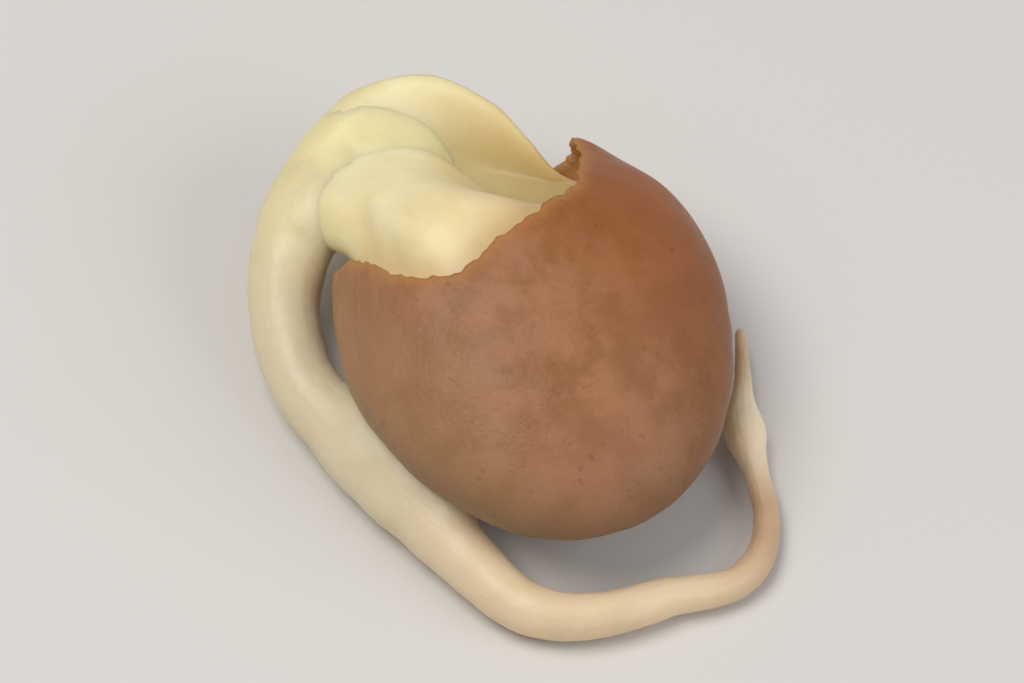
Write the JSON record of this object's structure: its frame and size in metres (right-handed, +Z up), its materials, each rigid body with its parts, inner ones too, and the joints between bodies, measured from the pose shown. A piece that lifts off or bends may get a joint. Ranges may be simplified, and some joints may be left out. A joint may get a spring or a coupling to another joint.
{
  "type": "sprouted brown lentil",
  "caption": "One sprouted lentil lying flat: a torn brown seed coat, two pale seed leaves swelling out of it and a pale tapering root curled round the seed.",
  "frame": {"origin": "middle of the sprout's outline, on the surface that it lies on", "axes": "+Z up, +Y away from the camera of the picture, along the sprout's longest extent, +X to the right in the picture"},
  "size_m": [0.0114, 0.0122, 0.0051],
  "materials": {
    "seed_coat": "thin brown seed skin, moist satin, faintly mottled",
    "seed_leaf": "waxy pale cream flesh",
    "root": "pale cream root, tan and duller in its thin tail"
  },
  "bodies": {
    "root": {"seed_coat": "seed_coat", "seed_leaf_upper": "seed_leaf", "seed_leaf_lower": "seed_leaf", "sprout_root": "root"}
  },
  "joints": []
}
